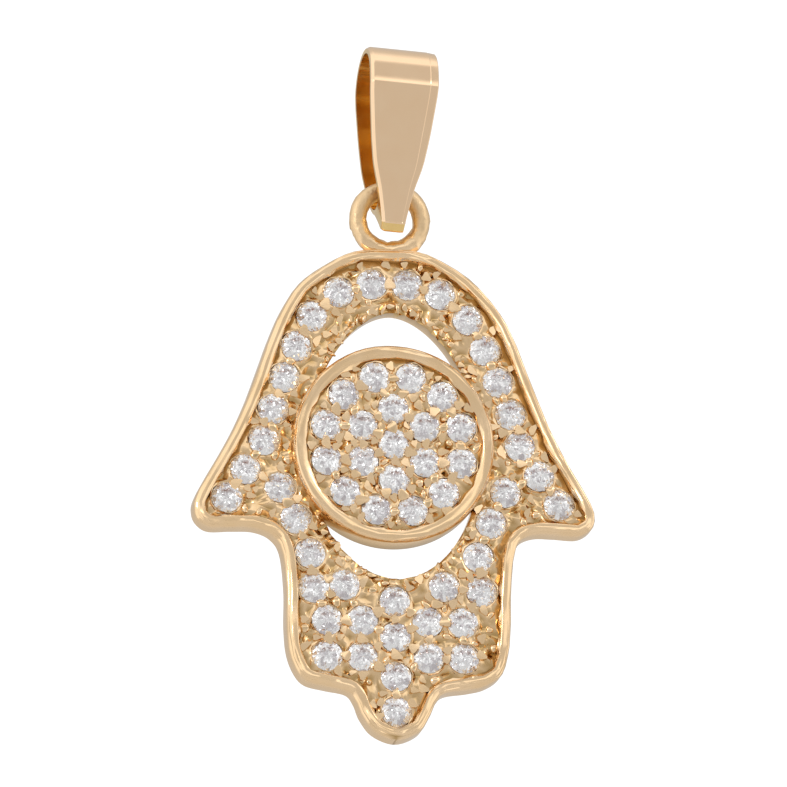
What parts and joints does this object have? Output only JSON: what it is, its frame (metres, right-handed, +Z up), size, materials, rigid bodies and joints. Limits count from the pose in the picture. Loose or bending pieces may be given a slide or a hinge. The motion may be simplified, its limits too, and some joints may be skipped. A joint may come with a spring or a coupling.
{
  "type": "hamsa pendant",
  "caption": "Hand-shaped pendant of gold-coloured metal, pavé-set with small clear stones round a stone-set disc, on a tapered strap bail.",
  "frame": {"origin": "inside top of the bail, where a chain bears when the pendant hangs", "axes": "+Z up, along the hanging pendant; +X to the viewer's right; -Y is the front with the stones"},
  "size_m": [0.0203, 0.0042, 0.0358],
  "materials": {
    "gold": "polished",
    "bail_gold": "polished",
    "stone": "faceted"
  },
  "bodies": {
    "bail": {"bail": "bail_gold"},
    "pendant": {"hand": "gold", "disc_stones": "stone", "hand_stones": "stone"}
  },
  "joints": [
    {"name": "hand_swing", "type": "hinge", "parent": "bail", "child": "pendant", "pos_m": [-0.00042, 0, -0.00687], "axis": [1, 0, 0], "range_deg": [-50, 50]}
  ]
}
